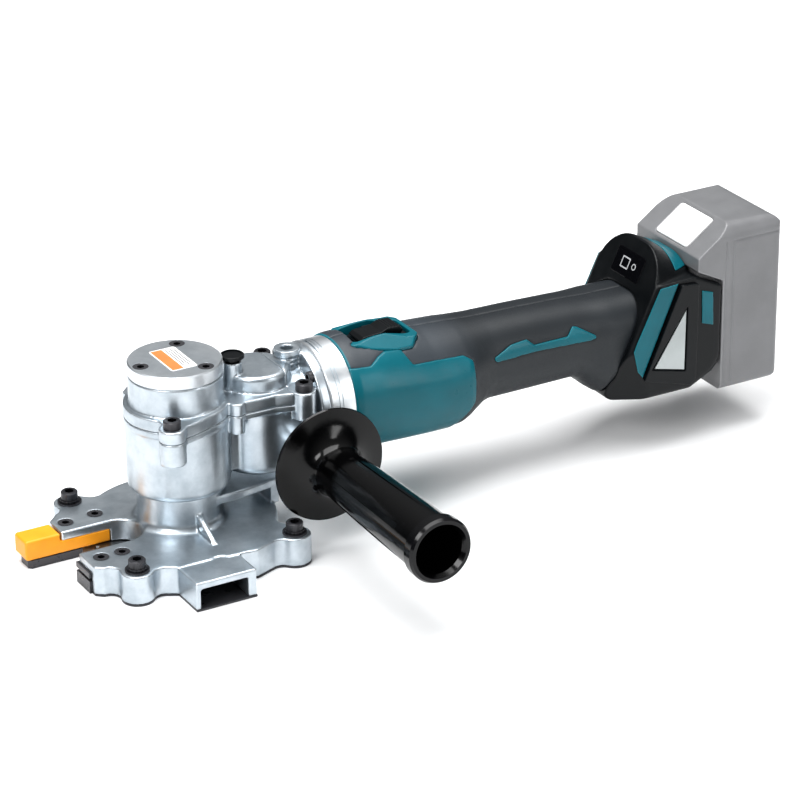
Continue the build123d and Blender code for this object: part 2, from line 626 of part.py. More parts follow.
def bevel_tooth(pitch_r, apex_h, foot_w, tip_w, foot, tip):
    """One straight bevel tooth, lofted towards the apex at the origin; its axis is +Z.

    The large end's pitch point lies at radius pitch_r and height apex_h from the apex.
    """
    distance = sqrt(pitch_r ** 2 + apex_h ** 2)
    along = Vector(pitch_r / distance, 0, apex_h / distance)
    plane = Plane(origin=along * distance, x_dir=(0, 1, 0), z_dir=along)
    large = tooth_wedge(foot_w, tip_w, foot, tip)
    small = scale(large, BEVEL_SMALL)
    small_plane = Plane(origin=along * distance * BEVEL_SMALL, x_dir=(0, 1, 0), z_dir=along)
    with BuildPart() as tooth:
        loft([plane * large, small_plane * small])
    return tooth.part


def bevel_gear_body():
    """Crown gear about +Z with the apex at the origin and its teeth facing the apex."""
    low = BEVEL_PINION_R + 1.35
    with BuildPart() as gear:
        z_cylinder(0, 0, low, BEVEL_GEAR_R + 0.3, BEVEL_BACK_Z - AXIS_Z - low)
        Cone(0.001, BEVEL_GEAR_R + 0.3, low, align=UP, mode=Mode.SUBTRACT)
    return gear.part


with BuildPart() as bevel_gear:
    tooth = bevel_tooth(BEVEL_GEAR_R, BEVEL_PINION_R, 0.95, 2.1, 1.0, 1.6)
    with Locations((COUNTER_X, 0, AXIS_Z)):
        add(bevel_gear_body())
        with PolarLocations(0, BEVEL_GEAR_TEETH):
            add(tooth)
    z_cylinder(COUNTER_X, 0, 80, 12, 6.5, mode=Mode.SUBTRACT)
    z_cylinder(COUNTER_X, 0, 60, 5, 60, mode=Mode.SUBTRACT)
    lock_r = sqrt((LOCK_X - COUNTER_X) ** 2 + LOCK_Y ** 2)
    with Locations((COUNTER_X, 0, BEVEL_BACK_Z - NOTCH_DEPTH)):
        with PolarLocations(lock_r, 16, start_angle=degrees(atan2(LOCK_Y, LOCK_X - COUNTER_X))):
            Cylinder(2.9, NOTCH_DEPTH, align=UP, mode=Mode.SUBTRACT)
save(bevel_gear, "bevel_gear")

with BuildPart() as bevel_pinion:
    with BuildSketch(Plane.XZ) as cone_half:
        with BuildLine():
            Polyline((COUNTER_X + 13.2, AXIS_Z), (COUNTER_X + 13.2, AXIS_Z + 2.75),
                     (COUNTER_X + 20, AXIS_Z + 4.25), (78.5, AXIS_Z + 4.25), (78.5, AXIS_Z),
                     close=True)
        make_face()
    revolve(axis=Axis((COUNTER_X, 0, AXIS_Z), (1, 0, 0)))
    pinion_tooth = bevel_tooth(BEVEL_PINION_R, BEVEL_GEAR_R, 0.75, 2.3, 0.95, 1.9)
    with Locations(Location((COUNTER_X, 0, AXIS_Z), (0, 90, 0))):
        with PolarLocations(0, BEVEL_PINION_TEETH):
            add(pinion_tooth)
    x_cylinder(74, 10, 3, mode=Mode.SUBTRACT)
save(bevel_pinion, "bevel_pinion")

COUNTER_R = 5 - RUN
with BuildPart() as countershaft:
    z_cylinder(COUNTER_X, 0, 49, COUNTER_R, 57.2)
    z_cylinder(COUNTER_X, 0, GEAR_Z + GEAR_W, 7, 86.2 - GEAR_Z - GEAR_W)
save(countershaft, "countershaft")

with BuildPart() as counter_pinion:
    with Locations((COUNTER_X, 0, GEAR_Z)):
        add(spur_gear(COUNTER_TEETH, GEAR_W, COUNTER_R))
save(counter_pinion, "counter_pinion")

COUNTER_BEARING = bearing(11, 5, 7)
with BuildPart() as counter_bearings:
    with Locations((COUNTER_X, 0, 48.5), (COUNTER_X, 0, 99.0)):
        add(COUNTER_BEARING)
save(counter_bearings, "counter_bearings")


# ---------------------------------------------------------------- shaft lock
with BuildPart() as lock_button:
    z_cylinder(LOCK_X, LOCK_Y, LOCK_CAP_Z, 7.8, 2.1)
    fillet(lock_button.edges().group_by(Axis.Z)[-1], 0.6)
    z_cylinder(LOCK_X, LOCK_Y, LOCK_CAP_Z + 1.4, 6.3, 2, mode=Mode.SUBTRACT)
    z_cylinder(LOCK_X, LOCK_Y, LOCK_CAP_Z - 3.9, 4.2, 3.9)
    z_cylinder(LOCK_X, LOCK_Y, BEVEL_BACK_Z + 0.5, 2.3, LOCK_CAP_Z - BEVEL_BACK_Z - 0.5)
save(lock_button, "lock_button")

with BuildPart() as lock_spring:
    with BuildLine() as coil:
        Helix(pitch=1.9, height=7.6, radius=3.4, center=(LOCK_X, LOCK_Y, LOCK_BORE_Z + 0.5))
    with BuildSketch(Plane(coil.line ^ 0)):
        Circle(0.45)
    sweep(path=coil.line, is_frenet=True)
save(lock_spring, "lock_spring")


# ---------------------------------------------------------------- motor
ROTOR_X = 113.0
ROTOR_L = 38.0
with BuildPart() as motor_shaft:
    x_cylinder(74, 6, 3)
    x_cylinder(78.5, 74.5, 5 - RUN)
    x_cylinder(152, 15, 4 - RUN)
save(motor_shaft, "motor_shaft")

with BuildPart() as rotor:
    x_cylinder(ROTOR_X, ROTOR_L, 14)
    x_cylinder(ROTOR_X, ROTOR_L, 5 - RUN, mode=Mode.SUBTRACT)
    for k in range(4):
        with Locations(Location((ROTOR_X, 0, AXIS_Z), (90 * k, 0, 0))):
            with Locations((0, 0, 10.6)):
                Box(ROTOR_L * 2, 12, 1.6, mode=Mode.SUBTRACT)
save(rotor, "rotor")

with BuildPart() as fan:
    x_cylinder(98, 1.6, 28)
    with BuildSketch(Plane(origin=(99.6, 0, AXIS_Z), x_dir=(0, 1, 0), z_dir=(1, 0, 0))):
        Circle(9)
        with PolarLocations(0, 9):
            Rectangle(27, 1.4, align=(Align.MIN, Align.CENTER))
    extrude(amount=8)
    x_cylinder(94, 14, 5 - RUN, mode=Mode.SUBTRACT)
save(fan, "fan")

with BuildPart() as stator:
    x_cylinder(ROTOR_X, ROTOR_L, 27.5)
    x_cylinder(ROTOR_X, ROTOR_L, 23.5, mode=Mode.SUBTRACT)
    with Locations((ROTOR_X + ROTOR_L / 2, 0, AXIS_Z)):
        with Locations(*[Location((0, 0, 0), (60 * k, 0, 0)) for k in range(6)]):
            with Locations((0, 0, 19.5)):
                Box(ROTOR_L, 6, 9.5)
    x_cylinder(ROTOR_X, ROTOR_L, 14.6, mode=Mode.SUBTRACT)
save(stator, "stator")

with BuildPart() as windings:
    with Locations((ROTOR_X + ROTOR_L / 2, 0, AXIS_Z)):
        with Locations(*[Location((0, 0, 0), (60 * k, 0, 0)) for k in range(6)]):
            with Locations((0, 0, 19.7)):
                Box(ROTOR_L + 8, 12, 5.6)
        with Locations(*[Location((0, 0, 0), (60 * k, 0, 0)) for k in range(6)]):
            with Locations((0, 0, 19.7)):
                Box(ROTOR_L, 6, 8, mode=Mode.SUBTRACT)
save(windings, "windings")

with BuildPart() as motor_bearings:
    with Locations(Location((78.5, 0, AXIS_Z), (0, 90, 0))):
        add(bearing(13, 5, 8))
    with Locations(Location((158, 0, AXIS_Z), (0, 90, 0))):
        add(bearing(11, 4, 7))
save(motor_bearings, "motor_bearings")


# ---------------------------------------------------------------- motor housing and grip
HOUSING_STATIONS = [
    # x, width, corner radius, bottom height, top height
    (109, 74.6, 36.5, 43.7, 118.3),
    (114, 76.6, 37.5, 42.3, 119.3),
    (130, 77.0, 37.5, 41.4, 119.4),
    (146, 77.0, 37.0, 41.1, 117.6),
    (160, 77.0, 36.0, 41.1, 115.4),
    (172, 76.5, 35.0, 41.1, 113.4),
    (186, 75.0, 34.0, 41.1, 112.6),
    (195, 73.4, 33.0, 42.0, 112.1),
    (200, 70.0, 31.5, 44.1, 111.7),
    (206, 64.4, 28.0, 48.2, 111.2),
    (212, 60.0, 25.0, 52.4, 110.7),
    (218, 58.0, 24.0, 54.2, 110.4),
    (250, 56.5, 22.5, 54.6, 109.6),
    (284, 56.0, 22.0, 55.0, 108.4),
    (290, 56.6, 22.0, 52.6, 108.0),
    (297, 58.0, 22.0, 45.6, 107.6),
    (304.5, 60.5, 22.0, 40.2, 107.2),
    (309, 61.0, 22.0, 43.2, 107.2),
    (338, 61.0, 22.0, 47.6, 106.6),
]


def housing_body(grow):
    """Smooth body through all stations, grown or shrunk by the same amount all round."""
    sections = []
    for x, width, corner, low, high in HOUSING_STATIONS:
        centre = (x, 0, (low + high) / 2)
        with BuildSketch(Plane(origin=centre, x_dir=(0, 1, 0), z_dir=(1, 0, 0))) as section:
            RectangleRounded(width + 2 * grow, high - low + 2 * grow, corner + grow)
        sections.append(section.sketch)
    with BuildPart() as body:
        loft(sections, ruled=True)
    return body.part


def side_outline(points):
    """Flat outline on X and Z, standing on Y = 0 and facing -Y."""
    with BuildSketch(Plane.XZ) as outline:
        with BuildLine():
            Polyline(*points, close=True)
        make_face()
        fillet(outline.vertices(), 1.4)
    return outline.sketch


HOUSING_OUTER = housing_body(0)
HOUSING_PROUD = housing_body(0.5)
HOUSING_RECESS = housing_body(-1.2)
PANEL_POINTS = [(105, 107.5), (124, 106.5), (131, 110.0), (137, 111.5), (149, 110.5), (154, 101.5),
                (192, 99), (198, 95), (198.5, 66), (188, 50), (182, 30), (105, 30)]
ACCENT_POINTS = [(215.4, 90.4), (229.9, 96.4), (242.3, 97.4), (247.3, 92.9), (273.3, 92.9),
                 (278.3, 98.2), (281.6, 97.4), (297, 88), (290, 86.6), (248.2, 88.4), (218.3, 87.6)]


def side_inlay(points, side):
    """Piece of the housing's skin inside a side outline; side is -1 for -Y and +1 for +Y."""
    with BuildPart() as inlay:
        add(HOUSING_PROUD)
        block((90, -60 if side < 0 else 2.5, 0), (330, -2.5 if side < 0 else 60, 140),
              mode=Mode.INTERSECT)
        extrude(side_outline(points), amount=60, both=True, mode=Mode.INTERSECT)
        add(HOUSING_RECESS, mode=Mode.SUBTRACT)
    return inlay.part


PANEL_LEFT = side_inlay(PANEL_POINTS, -1)
PANEL_RIGHT = side_inlay(PANEL_POINTS, 1)
ACCENTS = [side_inlay(ACCENT_POINTS, side) for side in (-1, 1)]

SWITCH_X0 = 118.0
SWITCH_X1 = 167.0
SWITCH_FOOT = 24.5             # half width of the switch guard at its foot
SWITCH_CREST = 13.2            # half width at its crest
SWITCH_INNER = 11.9
SWITCH_LOW = 109.2


def switch_guard():
    """Outside of the guard round the slide switch: sloping walls with a wavy crest."""
    with BuildPart() as guard:
        with BuildSketch(Plane.YZ.offset(SWITCH_X0)):
            with BuildLine():
                Polyline((-SWITCH_FOOT, SWITCH_LOW), (SWITCH_FOOT, SWITCH_LOW), (SWITCH_FOOT, 110.6),
                         (SWITCH_CREST, 119), (-SWITCH_CREST, 119), (-SWITCH_FOOT, 110.6),
                         close=True)
            make_face()
        extrude(amount=SWITCH_X1 - SWITCH_X0)
        with BuildSketch(Plane.XZ.offset(-30)):
            with BuildLine():
                Polyline((100, 116.6), (118, 116.7), (124, 117.4), (133, 118.7), (143, 119.2),
                         (150, 117.4), (157, 115.7), (164, 115.2), (170, 115.0), (170, 90),
                         (100, 90), close=True)
            make_face()
        extrude(amount=60, mode=Mode.INTERSECT)
        with BuildSketch(Plane.XY.offset(100)) as plan:
            with BuildLine():
                Polyline((118, -15), (130, -20), (146, -23.5), (158, -23.5), (167, -14), (167, 14),
                         (158, 23.5), (146, 23.5), (130, 20), (118, 15), close=True)
            make_face()
            fillet(plan.vertices(), 4)
        extrude(amount=30, mode=Mode.INTERSECT)
    return guard.part


SWITCH_GUARD = switch_guard()


def shell_half(side):
    """One half of the clamshell with its bearing bulkhead, stator ribs and cut-outs."""
    with BuildPart() as half:
        add(HOUSING_OUTER)
        add(housing_body(-WALL), mode=Mode.SUBTRACT)
        for x in (116, 144):
            with BuildSketch(Plane.YZ.offset(x)):
                with Locations((0, AXIS_Z)):
                    Circle(36.4)
                    Circle(27.5, mode=Mode.SUBTRACT)
            extrude(amount=3)
        with BuildSketch(Plane.YZ.offset(157.5)):
            with Locations((0, AXIS_Z)):
                Circle(36.0)
                Circle(11, mode=Mode.SUBTRACT)
        extrude(amount=8)
        add(HOUSING_OUTER, mode=Mode.INTERSECT)
        add(SWITCH_GUARD, mode=Mode.SUBTRACT)
        block((SWITCH_X0 + 3, -SWITCH_INNER, 108), (SWITCH_X1 - 3, SWITCH_INNER, 130),
              mode=Mode.SUBTRACT)
        block((155, -6, 104), (184, 6, 111), mode=Mode.SUBTRACT)
        for piece in [PANEL_LEFT, PANEL_RIGHT] + ACCENTS:
            add(piece, mode=Mode.SUBTRACT)
        block((90, 0 if side < 0 else -60, 0), (350, 60 if side < 0 else 0, 140), mode=Mode.SUBTRACT)
    return half


housing_left = shell_half(-1)
save(housing_left, "housing_left")
housing_right = shell_half(1)
save(housing_right, "housing_right")

with BuildPart() as side_panels:
    add(PANEL_LEFT)
    add(PANEL_RIGHT)
save(side_panels, "side_panels")

with BuildPart() as grip_accents:
    for piece in ACCENTS:
        add(piece)
save(grip_accents, "grip_accents")


# ---------------------------------------------------------------- slide switch
with BuildPart() as switch_frame:
    add(SWITCH_GUARD)
    add(side_panels.part, mode=Mode.SUBTRACT)
    with BuildSketch(Plane.XY.offset(100)):
        with Locations(((SWITCH_X0 + SWITCH_X1) / 2, 0)):
            RectangleRounded(SWITCH_X1 - SWITCH_X0 - 6, 2 * SWITCH_INNER, 4)
    extrude(amount=40, mode=Mode.SUBTRACT)
    block((160, -3.6, 104), (170, 3.6, 111.0), mode=Mode.SUBTRACT)
save(switch_frame, "switch_frame")

with BuildPart() as switch_sled:
    block((SWITCH_X0 + 10, -11.3, 109.4), (SWITCH_X1 - 3.6, 11.3, 112.4))
    fillet(switch_sled.edges().filter_by(Axis.Z), 3)
    for side in (-1, 1):
        block((139, side * 9.5 - 1.2, 112.4), (147, side * 9.5 + 1.2, 116.2))
    with Locations((143, 0, 114.9)):
        Cylinder(0.9, 30, rotation=(90, 0, 0), mode=Mode.SUBTRACT)
    block((SWITCH_X1 - 5, -3, 106.5), (178, 3, 110.4))
save(switch_sled, "switch_sled")

with BuildPart() as switch_knob:
    with BuildSketch(Plane.XZ.offset(-8)):
        with BuildLine():
            Polyline((129, 113.4), (158, 113.4), (160, 116.2), (157.5, 119.4), (149.5, 120.0),
                     (144, 117.6), (131, 116.8), (128, 114.6), close=True)
        make_face()
    extrude(amount=16)
    fillet(switch_knob.edges().filter_by(Axis.Y).group_by(Axis.Z)[-1], 0.8)
    for k in range(4):
        with Locations((149.6 + 2.2 * k, 0, 120.3)):
            Cylinder(0.75, 20, rotation=(90, 0, 0), mode=Mode.SUBTRACT)
    with Locations((143, 0, 114.9)):
        Cylinder(0.9 - RUN, 21.4, rotation=(90, 0, 0))
    block((120, -12, 100), (170, 12, 113.4), mode=Mode.SUBTRACT)
save(switch_knob, "switch_knob")

with BuildPart() as switch_unit:
    block((180, -10, 86), (200, 10, 104))
    block((181, -3, 104), (186, 3, 106.2))
    fillet(switch_unit.edges().filter_by(Axis.X).group_by(Axis.Z)[0], 1.2)
save(switch_unit, "switch_unit")


# ---------------------------------------------------------------- electronics in the grip
with BuildPart() as controller:
    block((222, -17, 64), (282, 17, 92))
    fillet(controller.edges().filter_by(Axis.X), 3)
    for k in range(9):
        block((226 + 6 * k, -15, 92), (229 + 6 * k, 15, 97))
save(controller, "controller")

with BuildPart() as power_leads:
    for y, z in ((-8, 72), (8, 72)):
        x_cylinder(282, 78, 1.6, y=y, z=z)
save(power_leads, "power_leads")


# ---------------------------------------------------------------- rear housing
def lean_x(z):
    """X of the rear housing's front face at a height."""
    return 319.5 + (z - 81.0) * tan(radians(LEAN))


REAR_X = 388.5
POCKET_X = 372.0
POCKET_HALF = 31.0
POCKET_Z = 48.0                # floor of the battery's pocket
TRIM_X = 357.0                 # the coloured band round the dome starts here


def rear_dome():
    """Hood over the controls: a rounded shape with a leaning front face."""
    lean_normal = (cos(radians(LEAN)), 0, -sin(radians(LEAN)))
    with BuildPart() as hood:
        with BuildSketch(Plane(origin=(lean_x(104), 0, 104), x_dir=(0, 1, 0), z_dir=lean_normal)) as face:
            Rectangle(70, 76)
            fillet(face.vertices(), 29)
        extrude(amount=60)
        block((368, -60, 60), (440, 60, 160), mode=Mode.SUBTRACT)
    return hood.part


REAR_DOME = rear_dome()
with BuildPart() as dome_band:
    add(REAR_DOME)
    block((TRIM_X, -60, 119.2), (368, 60, 160), mode=Mode.INTERSECT)
    block((TRIM_X, -30, 100), (368, 30, 122), mode=Mode.SUBTRACT)

with BuildPart() as rear_housing:
    with BuildSketch(Plane.XZ.offset(-BLOCK_HALF)) as profile:
        with BuildLine():
            Polyline((lean_x(52), 52), (lean_x(118), 118), (368, 119), (REAR_X, 109), (REAR_X, 52),
                     (384, 46), (366, 37), (305, 37), close=True)
        make_face()
        fillet(profile.vertices().sort_by(Axis.X)[0:1], 6)
    extrude(amount=2 * BLOCK_HALF)
    soft_edges = rear_housing.edges().filter_by(
        lambda e: abs(abs(e.center().Y) - BLOCK_HALF) < 0.1 and e.center().Z < 110
        and (e.center().X < 345 or e.center().Z < 50))
    fillet(soft_edges, 5)
    # slanted cuts that narrow the lower front corners towards the grip
    for side in (-1, 1):
        cut = Plane(origin=(318.5, side * BLOCK_HALF, 75), x_dir=(0.375, 0, -0.927),
                    z_dir=(-0.453, side * 0.873, -0.183))
        with Locations(cut):
            Box(160, 160, 60, align=UP, mode=Mode.SUBTRACT)
    add(REAR_DOME)
    add(dome_band.part, mode=Mode.SUBTRACT)
    # pocket for the battery rails, open upwards and to the rear
    block((POCKET_X, -POCKET_HALF, POCKET_Z), (400, POCKET_HALF, 160), mode=Mode.SUBTRACT)
    for side in (-1, 1):
        block((380, side * (POCKET_HALF - 1.5) - 1.7, 52), (383, side * (POCKET_HALF - 1.5) + 1.7, 104))
    # inner space for the terminal block and the end of the grip
    block((340, -24, 50), (POCKET_X, 24, 104), mode=Mode.SUBTRACT)
    x_cylinder(300, 60, 20, z=80, mode=Mode.SUBTRACT)
    add(HOUSING_OUTER, mode=Mode.SUBTRACT)
save(rear_housing, "rear_housing")


def side_sketch(points, side, level, radius=0.0):
    """Outline on X and Z on a side face, at a distance from the middle plane."""
    with BuildSketch(Plane.XZ.offset(-side * level)) as outline:
        with BuildLine():
            Polyline(*points, close=True)
        make_face()
        if radius > 0:
            fillet(outline.vertices(), radius)
    return outline.sketch


STRIPE_POINTS = [(338.5, 116.5), (353, 117.5), (326, 55), (322, 60), (318.5, 75), (320.5, 80)]
PATCH_POINTS = [(371.7, 108.5), (381, 105.5), (382, 81.3), (372.6, 84.4)]
BUMPER_POINTS = [(354.5, 116.5), (368, 115), (367.5, 47), (363, 42.5), (326, 53)]
RECESS_POINTS = [(359.5, 101.5), (359, 53.5), (331.5, 60.3)]
INSERT_POINTS = [(358.4, 97.5), (358.0, 54.8), (334.5, 60.5)]
BUMPER_T = 3.0
with BuildPart() as rear_trim:
    add(dome_band.part)
    for side in (-1, 1):
        for points in (STRIPE_POINTS, PATCH_POINTS):
            extrude(side_sketch(points, side, BLOCK_HALF), amount=-side * 0.7)
save(rear_trim, "rear_trim")

with BuildPart() as side_bumpers:
    for side in (-1, 1):
        extrude(side_sketch(BUMPER_POINTS, side, BLOCK_HALF, 1.5), amount=-side * BUMPER_T)
        extrude(side_sketch(RECESS_POINTS, side, BLOCK_HALF + BUMPER_T), amount=side * 1.8,
                mode=Mode.SUBTRACT)
save(side_bumpers, "side_bumpers")

with BuildPart() as side_inserts:
    for side in (-1, 1):
        extrude(side_sketch(INSERT_POINTS, side, BLOCK_HALF + BUMPER_T - 1.8), amount=-side * 1.0)
save(side_inserts, "side_inserts")

PANEL_PLANE = Plane(origin=(lean_x(121), 0, 121), x_dir=(0, -1, 0),
                    z_dir=(-cos(radians(LEAN)), 0, sin(radians(LEAN))))
with BuildPart() as indicator_panel:
    with BuildSketch(PANEL_PLANE):
        RectangleRounded(32, 18, 2)
    extrude(amount=0.6)
save(indicator_panel, "indicator_panel")

with BuildPart() as terminal_block:
    block((360, -23.6, 54), (POCKET_X - 0.2, 23.6, 100))
    for y in (-14, 14):
        block((POCKET_X - 0.2, y - 3, 54), (POCKET_X, y + 3, 60))
save(terminal_block, "terminal_block")

with BuildPart() as terminals:
    for y in (-12, 12):
        block((POCKET_X - 0.2, y - 0.4, 62), (381, y + 0.4, 82))
    block((POCKET_X - 0.2, -3, 62), (377, 3, 70))
save(terminals, "terminals")


# ---------------------------------------------------------------- battery pack
SLOPE_LOW = (369.0, 131.0)
SLOPE_HIGH = (395.5, BATTERY_TOP)
BATTERY_REAR = 436.5
SLOPE = atan2(SLOPE_HIGH[1] - SLOPE_LOW[1], SLOPE_HIGH[0] - SLOPE_LOW[0])
SLOPE_PLANE = Plane(origin=((SLOPE_LOW[0] + SLOPE_HIGH[0]) / 2, 0, (SLOPE_LOW[1] + SLOPE_HIGH[1]) / 2),
                    x_dir=(cos(SLOPE), 0, sin(SLOPE)), z_dir=(-sin(SLOPE), 0, cos(SLOPE)))

with BuildPart() as battery_case:
    with BuildSketch(Plane.XZ.offset(-BLOCK_HALF)) as profile:
        with BuildLine():
            Polyline((389.2, 31), (BATTERY_REAR, 31), (BATTERY_REAR, 149.5), SLOPE_HIGH,
                     SLOPE_LOW, (369, 121.5), (389.2, 111.5), close=True)
        make_face()
        fillet(profile.vertices().sort_by(Axis.X)[-2:], 9)
    extrude(amount=2 * BLOCK_HALF)
    # rounded along the top and bottom edges, and at the rear corners
    with BuildSketch(Plane.YZ.offset(300)) as across:
        with Locations((0, (31 + BATTERY_TOP) / 2)):
            Rectangle(2 * BLOCK_HALF, BATTERY_TOP - 31)
        fillet(across.vertices().sort_by(Axis.Y)[2:], 10)
        fillet(across.vertices().group_by(Axis.Y)[0], 4.5)
    extrude(amount=200, mode=Mode.INTERSECT)
    with BuildSketch(Plane.XY) as plan:
        with Locations((BATTERY_REAR, 0)):
            Rectangle(100, 2 * BLOCK_HALF, align=(Align.MAX, Align.CENTER))
        fillet(plan.vertices().group_by(Axis.X)[-1], 5)
    extrude(amount=200, mode=Mode.INTERSECT)
    for side in (-1, 1):
        for x in (391.0, 396.5):
            block((x, side * BLOCK_HALF - 0.9, 36), (x + 1.4, side * BLOCK_HALF + 0.9, 139.5),
                  mode=Mode.SUBTRACT)
        block((396.5, side * BLOCK_HALF - 0.9, 138), (BATTERY_REAR, side * BLOCK_HALF + 0.9, 139.5),
              mode=Mode.SUBTRACT)
    # rail body that slides into the tool
    block((POCKET_X + 0.6, -POCKET_HALF + 0.4, POCKET_Z + 1), (390, POCKET_HALF - 0.4, 125))
    for side in (-1, 1):
        block((379.6, side * 29.7 - 2.3, 40), (383.4, side * 29.7 + 2.3, 104.6), mode=Mode.SUBTRACT)
    for y, half in ((-12, 1.4), (12, 1.4), (0, 4)):
        block((POCKET_X, y - half, 40), (382.5, y + half, 84), mode=Mode.SUBTRACT)
    # space for the cells and the release button
    block((391, -34, 34.5), (433.5, 34, 132.5), mode=Mode.SUBTRACT)
    with BuildSketch(SLOPE_PLANE):
        RectangleRounded(27.6, 38, 3)
    extrude(amount=-8, mode=Mode.SUBTRACT)
save(battery_case, "battery_case")

with BuildPart() as battery_button:
    with BuildSketch(SLOPE_PLANE.offset(-4.4)):
        RectangleRounded(27.0, 37.4, 2.7)
    extrude(amount=5.0)
    fillet(battery_button.faces().sort_by(Axis.Z)[-1].edges(), 0.8)
save(battery_button, "battery_button")

CELL_R = 9.2
with BuildPart() as battery_cells:
    for row in range(5):
        for column in range(2):
            with Locations((402.3 + 19.6 * column, 0, 44.4 + 19.0 * row)):
                Cylinder(CELL_R, 65, rotation=(90, 0, 0))
save(battery_cells, "battery_cells")


# ---------------------------------------------------------------- side handle
STUD_R = 4.0 - RUN
with BuildPart() as handle_washer:
    y_cylinder(HANDLE_FACE_Y, 1.5, 11)
    y_cylinder(HANDLE_FACE_Y, 1.5, 4.3, mode=Mode.SUBTRACT)
save(handle_washer, "handle_washer")

with BuildPart() as handle_stud:
    y_cylinder(-32, 54, STUD_R)
    chamfer(handle_stud.edges().group_by(Axis.Y)[-1], 0.8)
    with Locations((HANDLE_X, -70, HANDLE_Z)):
        Box(11, 14, 11)
save(handle_stud, "handle_stud")

with BuildPart() as handle_grip:
    with BuildSketch(Plane(origin=(HANDLE_X, 0, HANDLE_Z), x_dir=(1, 0, 0), z_dir=(0, 0, 1))):
        with BuildLine():
            Polyline((0, -51.5), (20, -51.5), (24, -54.0), (37.6, -53.0), (38.2, -54.2), (37.8, -55.6))
            Spline((37.8, -55.6), (26, -58.5), (18.5, -63), (16, -72))
            Spline((16, -72), (17.6, -110), (18.6, -150), (19.2, -184))
            Polyline((19.2, -184), (21.4, -186.5), (21.4, -193), (20.2, HANDLE_END_Y),
                     (17.8, HANDLE_END_Y), (15.8, -192), (14.6, -120), (0, -118), (0, -51.5))
        make_face()
    revolve(axis=Axis((HANDLE_X, 0, HANDLE_Z), (0, 1, 0)))
    add(handle_stud.part, mode=Mode.SUBTRACT)
    # shallow lengthwise grooves that follow the taper
    for angle in range(0, 360, 60):
        on_axis = Location((HANDLE_X, 0, HANDLE_Z), (0, angle, 0))
        with Locations(on_axis * Location((0, -126, 18.1), (-1.8, 0, 0))):
            Box(4, 84, 1.4, mode=Mode.SUBTRACT)
save(handle_grip, "handle_grip")
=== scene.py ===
"""Looks of the cordless bar cutter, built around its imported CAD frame. Blender 4.5, metres."""
import json
import math

import bmesh
import bpy
from mathutils import Matrix, Vector


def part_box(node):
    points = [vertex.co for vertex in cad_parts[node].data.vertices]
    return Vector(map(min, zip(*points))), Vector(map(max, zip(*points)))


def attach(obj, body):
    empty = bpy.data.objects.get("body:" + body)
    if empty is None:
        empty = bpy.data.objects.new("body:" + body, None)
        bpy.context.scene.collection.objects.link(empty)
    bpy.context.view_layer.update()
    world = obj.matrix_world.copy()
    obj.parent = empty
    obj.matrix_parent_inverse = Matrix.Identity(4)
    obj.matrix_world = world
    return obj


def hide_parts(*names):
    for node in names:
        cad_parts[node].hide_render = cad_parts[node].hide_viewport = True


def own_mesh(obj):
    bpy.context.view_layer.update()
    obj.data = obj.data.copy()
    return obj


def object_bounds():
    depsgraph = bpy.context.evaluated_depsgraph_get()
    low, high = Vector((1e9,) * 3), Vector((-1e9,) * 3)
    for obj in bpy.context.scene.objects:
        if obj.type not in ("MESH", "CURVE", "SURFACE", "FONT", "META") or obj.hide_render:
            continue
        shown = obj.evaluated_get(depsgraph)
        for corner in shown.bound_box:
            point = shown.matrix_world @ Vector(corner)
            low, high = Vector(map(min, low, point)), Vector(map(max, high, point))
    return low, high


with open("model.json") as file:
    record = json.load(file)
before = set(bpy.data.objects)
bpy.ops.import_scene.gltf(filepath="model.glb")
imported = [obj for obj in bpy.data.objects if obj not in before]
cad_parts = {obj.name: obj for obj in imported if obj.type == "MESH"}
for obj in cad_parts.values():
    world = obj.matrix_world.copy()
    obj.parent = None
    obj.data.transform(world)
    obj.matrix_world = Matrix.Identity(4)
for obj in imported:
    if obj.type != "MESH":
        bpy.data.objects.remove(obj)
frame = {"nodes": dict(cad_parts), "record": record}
cad_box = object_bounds()
nodes = frame["nodes"]
record = frame["record"]
scene = bpy.context.scene

MM = 0.001


# ---------------------------------------------------------------- material tools
def new_material(name):
    """Empty node material: its node tree, its shader and a position input in millimetres."""
    material = bpy.data.materials.new(name)
    material.use_nodes = True
    tree = material.node_tree
    shader = tree.nodes["Principled BSDF"]
    place = tree.nodes.new("ShaderNodeTexCoord")
    to_mm = tree.nodes.new("ShaderNodeVectorMath")
    to_mm.operation = "SCALE"
    to_mm.inputs["Scale"].default_value = 1000.0
    tree.links.new(place.outputs["Object"], to_mm.inputs[0])
    return material, tree, shader, to_mm.outputs[0]


def noise(tree, place, scale, detail=3.0, rough=0.55):
    """Noise with features of about 1/scale millimetres."""
    node = tree.nodes.new("ShaderNodeTexNoise")
    node.inputs["Scale"].default_value = scale
    node.inputs["Detail"].default_value = detail
    node.inputs["Roughness"].default_value = rough
    tree.links.new(place, node.inputs["Vector"])
    return node.outputs["Fac"]


def stretched(tree, place, factors):
    """Position scaled by a different factor on each axis, for streaks."""
    node = tree.nodes.new("ShaderNodeVectorMath")
    node.operation = "MULTIPLY"
    node.inputs[1].default_value = factors
    tree.links.new(place, node.inputs[0])
    return node.outputs[0]


def span(tree, value, low, high, out_low, out_high):
    """Maps a value from one range to another."""
    node = tree.nodes.new("ShaderNodeMapRange")
    for socket, number in zip(("From Min", "From Max", "To Min", "To Max"),
                              (low, high, out_low, out_high)):
        node.inputs[socket].default_value = number
    tree.links.new(value, node.inputs["Value"])
    return node.outputs["Result"]


def combine(tree, operation, first, second):
    """Arithmetic on two values, each a number or a socket."""
    node = tree.nodes.new("ShaderNodeMath")
    node.operation = operation
    for socket, value in zip(node.inputs, (first, second)):
        if isinstance(value, (int, float)):
            socket.default_value = value
        else:
            tree.links.new(value, socket)
    return node.outputs[0]


